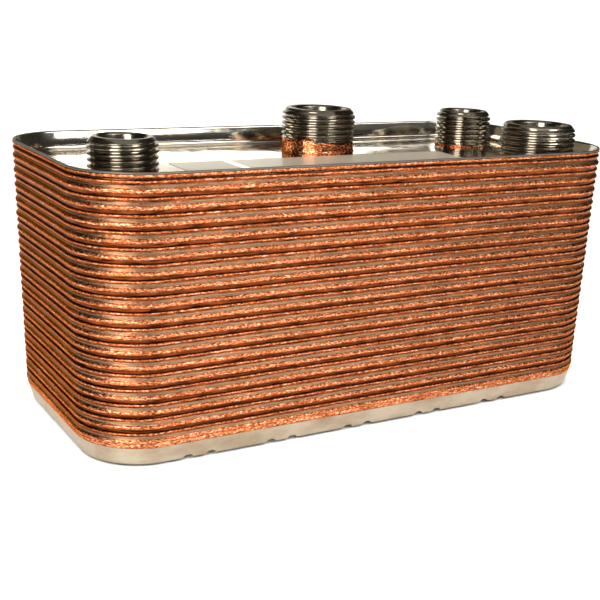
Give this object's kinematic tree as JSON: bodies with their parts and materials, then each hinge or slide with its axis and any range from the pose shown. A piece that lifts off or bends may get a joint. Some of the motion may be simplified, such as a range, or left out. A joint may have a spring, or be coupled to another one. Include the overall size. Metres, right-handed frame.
{
  "type": "plate heat exchanger",
  "caption": "Brazed plate heat exchanger: nested copper-brazed steel pans between a back plate and a shallow cover tray with threaded pipe ports standing on it.",
  "frame": {"origin": "centre of the back plate's footprint, on the surface it stands on", "axes": "+X along the long side, +Z out of the end with the four ports, +Y across the short side"},
  "size_m": [0.196, 0.089, 0.0968],
  "materials": {
    "bright_steel": "bright annealed, mirror-like",
    "pressed_steel": "matt, pressed, lightly stained by the brazing furnace",
    "coppered_plate": "stainless steel with copper run over its edge",
    "braze_copper": "solidified copper braze",
    "turned_steel": "turned, bright",
    "label_film": "glossy film, blank"
  },
  "bodies": {
    "root": {"back_plate": "pressed_steel", "channel_plate_01": "coppered_plate", "channel_plate_02": "coppered_plate", "channel_plate_03": "coppered_plate", "channel_plate_04": "coppered_plate", "channel_plate_05": "coppered_plate", "channel_plate_06": "coppered_plate", "channel_plate_07": "coppered_plate", "channel_plate_08": "coppered_plate", "channel_plate_09": "coppered_plate", "channel_plate_10": "coppered_plate", "channel_plate_11": "coppered_plate", "channel_plate_12": "coppered_plate", "channel_plate_13": "coppered_plate", "channel_plate_14": "coppered_plate", "channel_plate_15": "coppered_plate", "channel_plate_16": "coppered_plate", "channel_plate_17": "coppered_plate", "channel_plate_18": "coppered_plate", "channel_plate_19": "coppered_plate", "channel_plate_20": "coppered_plate", "channel_plate_21": "coppered_plate", "channel_plate_22": "coppered_plate", "channel_plate_23": "coppered_plate", "channel_plate_24": "coppered_plate", "channel_plate_25": "coppered_plate", "channel_plate_26": "coppered_plate", "channel_plate_27": "coppered_plate", "channel_plate_28": "coppered_plate", "channel_plate_29": "coppered_plate", "channel_plate_30": "coppered_plate", "channel_plate_31": "coppered_plate", "channel_plate_32": "coppered_plate", "channel_plate_33": "coppered_plate", "channel_plate_34": "coppered_plate", "cover_plate": "bright_steel", "edge_braze": "braze_copper", "heating_flow_port": "turned_steel", "heating_flow_braze": "braze_copper", "heating_return_port": "turned_steel", "heating_return_braze": "braze_copper", "cold_water_port": "turned_steel", "cold_water_braze": "braze_copper", "hot_water_port": "turned_steel", "hot_water_braze": "braze_copper", "blank_label": "label_film"}
  },
  "joints": []
}
